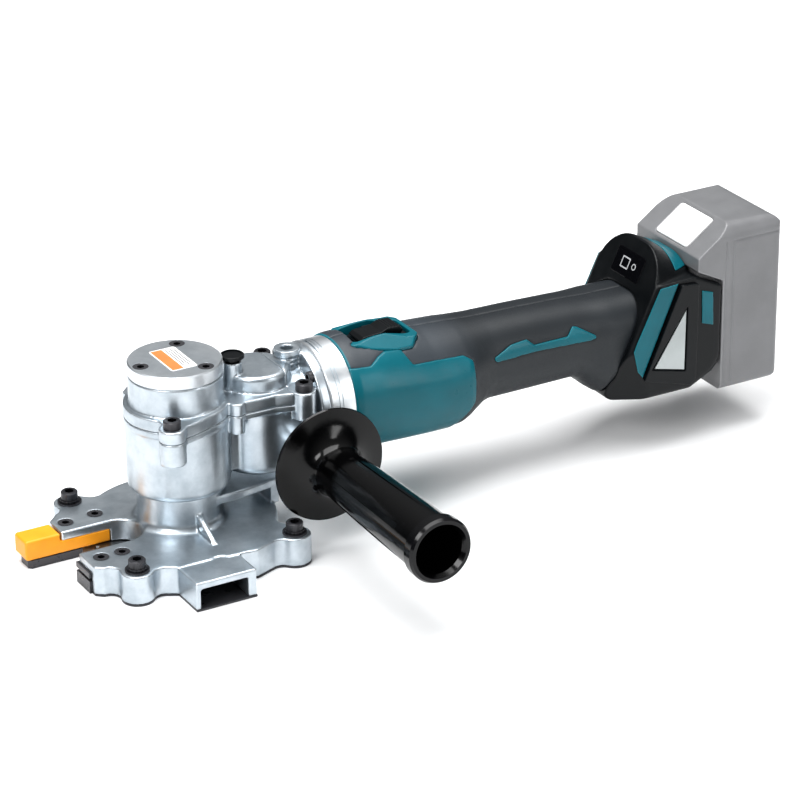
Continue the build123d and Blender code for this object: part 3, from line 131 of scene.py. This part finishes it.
def blend_colour(tree, factor, first, second):
    """Mix of two colours, each a tuple or a socket."""
    node = tree.nodes.new("ShaderNodeMix")
    node.data_type = "RGBA"
    tree.links.new(factor, node.inputs["Factor"])
    for socket, colour in ((node.inputs[6], first), (node.inputs[7], second)):
        if isinstance(colour, tuple):
            socket.default_value = (*colour, 1.0)
        else:
            tree.links.new(colour, socket)
    return node.outputs[2]


def bump(tree, shader, height, strength, distance, chain=None):
    """Adds a bump to the shader; distance is in millimetres."""
    node = tree.nodes.new("ShaderNodeBump")
    node.inputs["Strength"].default_value = strength
    node.inputs["Distance"].default_value = distance * MM
    tree.links.new(height, node.inputs["Height"])
    if chain is not None:
        tree.links.new(chain, node.inputs["Normal"])
    tree.links.new(node.outputs["Normal"], shader.inputs["Normal"])
    return node.outputs["Normal"]


EDGE_LOW = 0.52                # pointiness where the lighter edges (rubbed wear and painted highlight) begin to show, and where they are full
EDGE_HIGH = 0.6


def edge_wear_and_highlight(tree):
    """Factor that rises along the outer edges of a dense mesh, where edges are lightened for rubbed
    wear and as a painted highlight.
    """
    geometry = tree.nodes.new("ShaderNodeNewGeometry")
    return span(tree, geometry.outputs["Pointiness"], EDGE_LOW, EDGE_HIGH, 0.0, 1.0)


# ---------------------------------------------------------------- materials
def moulded(name, colour, rough, grain=1.6, grain_depth=0.03, vary=0.1, coat=0.0, edge=None,
            metallic=0.0, specular=0.5):
    """Moulded or coated surface: broad tone changes, spark-eroded grain, uneven sheen, lighter edges
    that stand for rubbed wear and a painted highlight.
    """
    material, tree, shader, place = new_material(name)
    broad = noise(tree, place, 0.03, 4.0)
    fine = noise(tree, place, grain, 2.0)
    smudge = noise(tree, place, 0.12, 4.0, 0.65)
    lighter = tuple(min(1.0, c * (1 + vary)) for c in colour)
    darker = tuple(c * (1 - vary) for c in colour)
    tone = blend_colour(tree, span(tree, broad, 0.35, 0.65, 0, 1), darker, lighter)
    if edge is not None:
        # edges lightened towards the edge colour: rubbed wear, and a painted highlight along the edges
        tone = blend_colour(tree, combine(tree, "MULTIPLY", edge_wear_and_highlight(tree), 0.5), tone, edge)
    tree.links.new(tone, shader.inputs["Base Color"])
    tree.links.new(span(tree, smudge, 0.3, 0.7, max(0.03, rough * 0.82), rough * 1.18),
                   shader.inputs["Roughness"])
    shader.inputs["Metallic"].default_value = metallic
    shader.inputs["Specular IOR Level"].default_value = specular
    shader.inputs["Coat Weight"].default_value = coat
    shader.inputs["Coat Roughness"].default_value = 0.12
    bump(tree, shader, fine, 1.0, grain_depth)
    return material


def cast_metal(name, dark, light, rough):
    """Blasted die casting: fine sandy grain, faint flow clouds, brighter rubbed edges."""
    material, tree, shader, place = new_material(name)
    clouds = noise(tree, place, 0.05, 5.0, 0.6)
    sand = noise(tree, place, 1.3, 3.0, 0.6)
    pits = noise(tree, place, 0.45, 2.0, 0.5)
    tone = blend_colour(tree, span(tree, clouds, 0.35, 0.65, 0, 1), dark, light)
    tone = blend_colour(tree, combine(tree, "MULTIPLY", edge_wear_and_highlight(tree), 0.6), tone, (0.9, 0.91, 0.92))
    tree.links.new(tone, shader.inputs["Base Color"])
    tree.links.new(span(tree, sand, 0.3, 0.7, rough - 0.05, rough + 0.07), shader.inputs["Roughness"])
    shader.inputs["Metallic"].default_value = 0.92
    chain = bump(tree, shader, sand, 1.0, 0.022)
    bump(tree, shader, pits, 0.6, 0.03, chain)
    return material


def turned_metal(name, colour, rough, axis_stretch=(6.0, 6.0, 0.15)):
    """Machined steel with fine tool lines."""
    material, tree, shader, place = new_material(name)
    lines = noise(tree, stretched(tree, place, axis_stretch), 1.0, 3.0)
    tint = noise(tree, place, 0.08, 3.0)
    darker = tuple(c * 0.8 for c in colour)
    tree.links.new(blend_colour(tree, span(tree, tint, 0.35, 0.65, 0, 1), darker, colour),
                   shader.inputs["Base Color"])
    tree.links.new(span(tree, lines, 0.3, 0.7, rough - 0.06, rough + 0.08), shader.inputs["Roughness"])
    shader.inputs["Metallic"].default_value = 1.0
    bump(tree, shader, lines, 0.5, 0.01)
    return material


LIP_END_X = 110.5              # positions along the motor axis, millimetres
SATIN_END_X = 176.0
RUBBER_START_X = 206.0


def grip_rubber(name):
    """Overmoulded housing skin: charcoal rubber behind, greyer satin plastic round the switch."""
    material, tree, shader, place = new_material(name)
    split = tree.nodes.new("ShaderNodeSeparateXYZ")
    tree.links.new(place, split.inputs[0])
    front = span(tree, split.outputs["X"], SATIN_END_X, RUBBER_START_X, 1.0, 0.0)
    clouds = noise(tree, place, 0.03, 4.0)
    rubber = blend_colour(tree, clouds, (0.008, 0.011, 0.014), (0.015, 0.019, 0.023))
    satin = blend_colour(tree, clouds, (0.026, 0.034, 0.042), (0.042, 0.050, 0.060))
    tone = blend_colour(tree, front, rubber, satin)
    tone = blend_colour(tree, combine(tree, "MULTIPLY", edge_wear_and_highlight(tree), 0.35), tone,
                        (0.16, 0.17, 0.18))
    # narrow teal lip against the motor flange
    lip = span(tree, split.outputs["X"], LIP_END_X, LIP_END_X + 0.3, 1.0, 0.0)
    tone = blend_colour(tree, lip, tone, (0.002, 0.125, 0.160))
    tree.links.new(tone, shader.inputs["Base Color"])
    leather = noise(tree, place, 0.9, 3.0, 0.6)
    tree.links.new(span(tree, leather, 0.3, 0.7, 0.40, 0.56), shader.inputs["Roughness"])
    shader.inputs["Specular IOR Level"].default_value = 0.5
    chain = bump(tree, shader, leather, 0.8, 0.035)
    bump(tree, shader, noise(tree, place, 2.6, 2.0), 0.6, 0.015, chain)
    return material


MATERIALS = {
    "cast_alloy": cast_metal("cast_alloy", (0.40, 0.45, 0.49), (0.57, 0.62, 0.66), 0.33),
    "black_steel": moulded("black_steel", (0.008, 0.008, 0.010), 0.30, metallic=0.3, grain=2.2,
                           grain_depth=0.012, edge=(0.12, 0.12, 0.13), specular=0.35),
    "tool_steel": turned_metal("tool_steel", (0.5, 0.51, 0.52), 0.28),
    "saw_steel": turned_metal("saw_steel", (0.25, 0.26, 0.27), 0.33, (0.3, 5.0, 5.0)),
    "orange_plastic": moulded("orange_plastic", (0.86, 0.34, 0.015), 0.42, edge=(0.95, 0.55, 0.12)),
    "label_white": moulded("label_white", (0.80, 0.80, 0.78), 0.35, grain_depth=0.006),
    "teal_plastic": moulded("teal_plastic", (0.0005, 0.110, 0.140), 0.33, grain=1.2, grain_depth=0.018,
                            coat=0.05, edge=(0.02, 0.28, 0.33), specular=0.32),
    "dark_grip": grip_rubber("dark_grip"),
    "black_plastic": moulded("black_plastic", (0.003, 0.004, 0.005), 0.34, edge=(0.035, 0.04, 0.045),
                             specular=0.28),
    "gloss_black": moulded("gloss_black", (0.0008, 0.0008, 0.001), 0.15, grain=0.35, grain_depth=0.02,
                           coat=0.12, edge=(0.01, 0.01, 0.012), specular=0.26),
    # the battery's light edge colour is a painted highlight along its rounded edges
    "battery_grey": moulded("battery_grey", (0.170, 0.172, 0.178), 0.38, vary=0.08, coat=0.2,
                            edge=(0.55, 0.55, 0.56)),
    "button_white": moulded("button_white", (0.80, 0.80, 0.80), 0.36, grain_depth=0.012),
    "insert_silver": moulded("insert_silver", (0.40, 0.43, 0.43), 0.42, metallic=0.3,
                             grain_depth=0.012),
    "copper": moulded("copper", (0.7, 0.28, 0.12), 0.35, metallic=1.0),
    "motor_iron": moulded("motor_iron", (0.12, 0.12, 0.13), 0.5, metallic=0.8),
    "cell_wrap": moulded("cell_wrap", (0.05, 0.25, 0.12), 0.4),
    "washer_rubber": moulded("washer_rubber", (0.02, 0.02, 0.02), 0.7),
    "terminal_brass": turned_metal("terminal_brass", (0.75, 0.55, 0.2), 0.3),
}

slot_of = {part["node"]: part["material_slot"] for part in record["subparts"]}
body_of_node = {}
for body, members in record["behaviour"]["bodies"].items():
    for member in members:
        body_of_node[member] = body


# ---------------------------------------------------------------- camera, floor and light
CAMERA_PLACE = Vector((-0.8607, -1.8068, 1.0174))
CAMERA_RIGHT = Vector((0.86853, -0.49558, -0.00793))
CAMERA_UP = Vector((0.21335, 0.35938, 0.90847))
CAMERA_LENS = 157.5            # on the 36 mm sensor


def add_camera():
    """Camera at the photograph's place and viewing angle."""
    data = bpy.data.cameras.new("camera")
    data.lens = CAMERA_LENS
    data.sensor_width = 36.0
    data.clip_start = 0.05
    data.clip_end = 50.0
    data.dof.use_dof = False
    camera = bpy.data.objects.new("camera", data)
    scene.collection.objects.link(camera)
    back = CAMERA_RIGHT.cross(CAMERA_UP)
    for row in range(3):
        camera.matrix_world[row][0] = CAMERA_RIGHT[row]
        camera.matrix_world[row][1] = CAMERA_UP[row]
        camera.matrix_world[row][2] = back[row]
        camera.matrix_world[row][3] = CAMERA_PLACE[row]
    scene.camera = camera


def add_floor():
    """Large pale floor under the tool."""
    mesh = bpy.data.meshes.new("floor")
    size = 8.0
    corners = [(-size, -size, 0), (size, -size, 0), (size, size, 0), (-size, size, 0)]
    mesh.from_pydata(corners, [], [(0, 1, 2, 3)])
    floor = bpy.data.objects.new("floor", mesh)
    floor.location.z = min(0.0, cad_box[0].z) - 0.0002
    scene.collection.objects.link(floor)
    mesh.materials.append(moulded("floor", (0.88, 0.885, 0.89), 0.8, grain=0.2, vary=0.01))


def add_light(name, place, target, size, power, colour=(1, 1, 1)):
    """Soft rectangular light at a place, aimed at a target."""
    data = bpy.data.lights.new(name, "AREA")
    data.shape = "RECTANGLE"
    data.size, data.size_y = size
    data.energy = power
    data.color = colour
    light = bpy.data.objects.new(name, data)
    light.location = place
    aim = Vector(target) - Vector(place)
    light.rotation_euler = aim.to_track_quat("-Z", "Y").to_euler()
    scene.collection.objects.link(light)


def add_world():
    """Studio surroundings: bright above, dark towards the horizon."""
    world = bpy.data.worlds.new("studio")
    world.use_nodes = True
    tree = world.node_tree
    background = tree.nodes["Background"]
    place = tree.nodes.new("ShaderNodeTexCoord")
    split = tree.nodes.new("ShaderNodeSeparateXYZ")
    tree.links.new(place.outputs["Generated"], split.inputs[0])
    ramp = span(tree, split.outputs["Z"], 0.15, 0.85, 0.0, 1.0)
    tree.links.new(blend_colour(tree, ramp, (0.10, 0.11, 0.12), (1.0, 1.0, 1.0)),
                   background.inputs["Color"])
    background.inputs["Strength"].default_value = 0.55
    scene.world = world


add_camera()
add_floor()
add_world()
MIDDLE = (0.16, 0.0, 0.07)
add_light("top", (0.1, 0.15, 2.2), MIDDLE, (2.4, 1.6), 62)
add_light("key", (-1.5, -0.9, 1.5), MIDDLE, (0.9, 0.9), 22)
add_light("side", (1.2, -1.9, 0.9), MIDDLE, (0.4, 1.3), 9)
scene.view_settings.view_transform = "Standard"
scene.view_settings.look = "Medium High Contrast"


# ---------------------------------------------------------------- mesh tools
def link(name, mesh, body, slot, replaced=(), material=None, smooth=True):
    """Puts a finished mesh into the scene on a body, with its material and what it stands for."""
    piece = bpy.data.objects.new(name, mesh)
    scene.collection.objects.link(piece)
    mesh.materials.clear()
    mesh.materials.append(material or MATERIALS[slot])
    if smooth:
        mesh.shade_smooth()
    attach(piece, body)
    if replaced:
        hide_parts(*replaced)
    return piece


def softened(node_name, voxel, passes):
    """Dense copy of a CAD node whose sharp edges are rounded, as on a casting or a moulding."""
    helper = bpy.data.objects.new("helper", nodes[node_name].data.copy())
    scene.collection.objects.link(helper)
    remesh = helper.modifiers.new("remesh", "REMESH")
    remesh.mode = "VOXEL"
    remesh.voxel_size = voxel * MM
    smooth = helper.modifiers.new("smooth", "SMOOTH")
    smooth.factor = 0.5
    smooth.iterations = passes
    graph = bpy.context.evaluated_depsgraph_get()
    mesh = bpy.data.meshes.new_from_object(helper.evaluated_get(graph))
    bpy.data.objects.remove(helper)
    mesh.name = node_name + "_soft"
    return link(node_name + "_soft", mesh, body_of_node[node_name], slot_of[node_name], (node_name,))


# ---------------------------------------------------------------- castings and mouldings
SOFTENED = {
    # node: voxel size and smoothing passes
    "blade_case": (0.7, 5),
    "gear_case": (0.7, 5),
    "gear_case_cover": (0.7, 5),
    "housing_left": (0.8, 14),
    "housing_right": (0.8, 14),
    "side_panels": (0.6, 4),
    "grip_accents": (0.5, 3),
    "switch_frame": (0.45, 5),
    "switch_knob": (0.35, 3),
    "rear_housing": (0.8, 14),
    "rear_trim": (0.45, 3),
    "side_bumpers": (0.45, 4),
    "battery_case": (0.6, 4),
    "battery_button": (0.5, 3),
    "bar_guide": (0.45, 4),
}
for name, (voxel, passes) in SOFTENED.items():
    softened(name, voxel, passes)


# ---------------------------------------------------------------- label, indicator window, lock spring
LABEL_SIZE = (34, 18)          # millimetres, as is everything in this section
LABEL_T = 0.1                  # thickness of the label's field
BAR_SIZE = (32, 7.6)
BAR_Y = -4.2                   # the bar lies along the label's front edge
BAR_T = 0.16
RULE_COUNT = 4
RULE_LENGTHS = (28, 23)        # long and short rules take turns
RULE_WIDTH = 0.7
RULE_Y = 1.4                   # first rule
RULE_STEP = 1.8
RULE_T = 0.15
WINDOW_SIZE = (32, 18)
WINDOW_T = 0.5
WINDOW_SINK = 0.3              # how far the glass starts below the panel's middle
WINDOW_LEAN = 25               # degrees, as the housing's front face
MARK_T = 0.58
SQUARE_X = -3.5
RING_X = 6.5


def plate(bm, outline, lift, place):
    """Closed thin plate from a flat outline, on the plane of a matrix, in millimetres."""
    low = [bm.verts.new(place @ Vector((x * MM, y * MM, 0))) for x, y in outline]
    high = [bm.verts.new(place @ Vector((x * MM, y * MM, lift * MM))) for x, y in outline]
    bm.faces.new(low[::-1])
    bm.faces.new(high)
    count = len(outline)
    for i in range(count):
        bm.faces.new((low[i], low[(i + 1) % count], high[(i + 1) % count], high[i]))


def rounded_box(width, height, radius, centre=(0.0, 0.0), steps=6):
    """Outline of a rectangle with rounded corners."""
    points = []
    for corner, (sx, sy) in enumerate(((1, 1), (-1, 1), (-1, -1), (1, -1))):
        for step in range(steps + 1):
            angle = math.radians(90 * corner + 90 * step / steps)
            points.append((centre[0] + sx * (width / 2 - radius) + radius * math.cos(angle),
                           centre[1] + sy * (height / 2 - radius) + radius * math.sin(angle)))
    return points


def frame_outline(bm, outer, inner, lift, place):
    """Closed thin frame between two outlines with the same number of points."""
    rings = []
    for outline, level in ((outer, 0), (outer, lift), (inner, lift), (inner, 0)):
        rings.append([bm.verts.new(place @ Vector((x * MM, y * MM, level * MM))) for x, y in outline])
    count = len(outer)
    for first, second in zip(rings, rings[1:] + rings[:1]):
        for i in range(count):
            bm.faces.new((first[i], first[(i + 1) % count], second[(i + 1) % count], second[i]))


def finish_mesh(bm, name):
    """Mesh from a bmesh, with its faces turned outwards."""
    bmesh.ops.recalc_face_normals(bm, faces=bm.faces)
    mesh = bpy.data.meshes.new(name)
    bm.to_mesh(mesh)
    bm.free()
    return mesh


def plane_matrix(origin, x_dir, z_dir):
    """Matrix whose local X and Z point along the given directions."""
    x_axis = Vector(x_dir).normalized()
    z_axis = Vector(z_dir).normalized()
    y_axis = z_axis.cross(x_axis)
    matrix = Matrix((x_axis, y_axis, z_axis)).transposed().to_4x4()
    matrix.translation = Vector(origin)
    return matrix


def circle(radius, centre=(0.0, 0.0), count=28):
    """Outline of a circle."""
    return [(centre[0] + radius * math.cos(2 * math.pi * i / count),
             centre[1] + radius * math.sin(2 * math.pi * i / count)) for i in range(count)]


def add_label():
    """Printed label on the top cap: white field, orange bar and blank grey rules."""
    low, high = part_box("cap_label")
    centre = (low + high) / 2
    base = plane_matrix((centre.x, centre.y, low.z), (0, -1, 0), (0, 0, 1))
    bm = bmesh.new()
    plate(bm, rounded_box(*LABEL_SIZE, 1.5), LABEL_T, base)
    link("label_field", finish_mesh(bm, "label_field"), "tool_body", "label_white", ("cap_label",),
         smooth=False)
    orange = moulded("label_orange", (0.78, 0.20, 0.06), 0.38, grain_depth=0.005)
    bm = bmesh.new()
    plate(bm, rounded_box(*BAR_SIZE, 0.5, (0, BAR_Y)), BAR_T, base)
    link("label_bar", finish_mesh(bm, "label_bar"), "tool_body", "label_white", material=orange,
         smooth=False)
    grey = moulded("label_grey", (0.16, 0.16, 0.17), 0.4, grain_depth=0.005)
    bm = bmesh.new()
    for row in range(RULE_COUNT):
        centre_of_rule = (-1.2, RULE_Y + RULE_STEP * row)
        outline = rounded_box(RULE_LENGTHS[row % 2], RULE_WIDTH, 0.2, centre_of_rule, 3)
        plate(bm, outline, RULE_T, base)
    link("label_rules", finish_mesh(bm, "label_rules"), "tool_body", "label_white", material=grey,
         smooth=False)


def add_window():
    """Indicator window: bevelled dark glass with a square and a round mark."""
    low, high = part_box("indicator_panel")
    lean = math.radians(WINDOW_LEAN)
    normal = Vector((-math.cos(lean), 0, math.sin(lean)))
    centre = (low + high) / 2
    base = plane_matrix(centre + normal * (-WINDOW_SINK * MM), (0, -1, 0), normal)
    glass = moulded("window_glass", (0.002, 0.002, 0.003), 0.10, grain_depth=0.002, specular=0.4)
    bm = bmesh.new()
    plate(bm, rounded_box(*WINDOW_SIZE, 2), WINDOW_T, base)
    piece = link("window", finish_mesh(bm, "window"), "tool_body", "black_plastic",
                 ("indicator_panel",), glass, smooth=False)
    edge = piece.modifiers.new("edge", "BEVEL")
    edge.width = 0.2 * MM
    edge.segments = 2
    mark = moulded("window_mark", (0.42, 0.43, 0.44), 0.5, grain_depth=0.004)
    bm = bmesh.new()
    square = (SQUARE_X, 0)
    frame_outline(bm, rounded_box(9, 8, 0.8, square), rounded_box(7, 6, 0.5, square), MARK_T, base)
    ring = (RING_X, 0)
    frame_outline(bm, circle(2.3, ring), circle(1.5, ring), MARK_T, base)
    link("window_marks", finish_mesh(bm, "window_marks"), "tool_body", "black_plastic",
         material=mark, smooth=False)


def add_spring():
    """Coil under the lock button, a copy of the CAD spring on the tool body."""
    coil = link("lock_spring_coil", nodes["lock_spring"].data.copy(), "tool_body",
                slot_of["lock_spring"], ("lock_spring",))
    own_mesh(coil)


add_label()
add_window()
add_spring()

# ---------------------------------------------------------------- carried-over CAD nodes
for name, node in nodes.items():
    node.data.materials.clear()
    node.data.materials.append(MATERIALS[slot_of[name]])
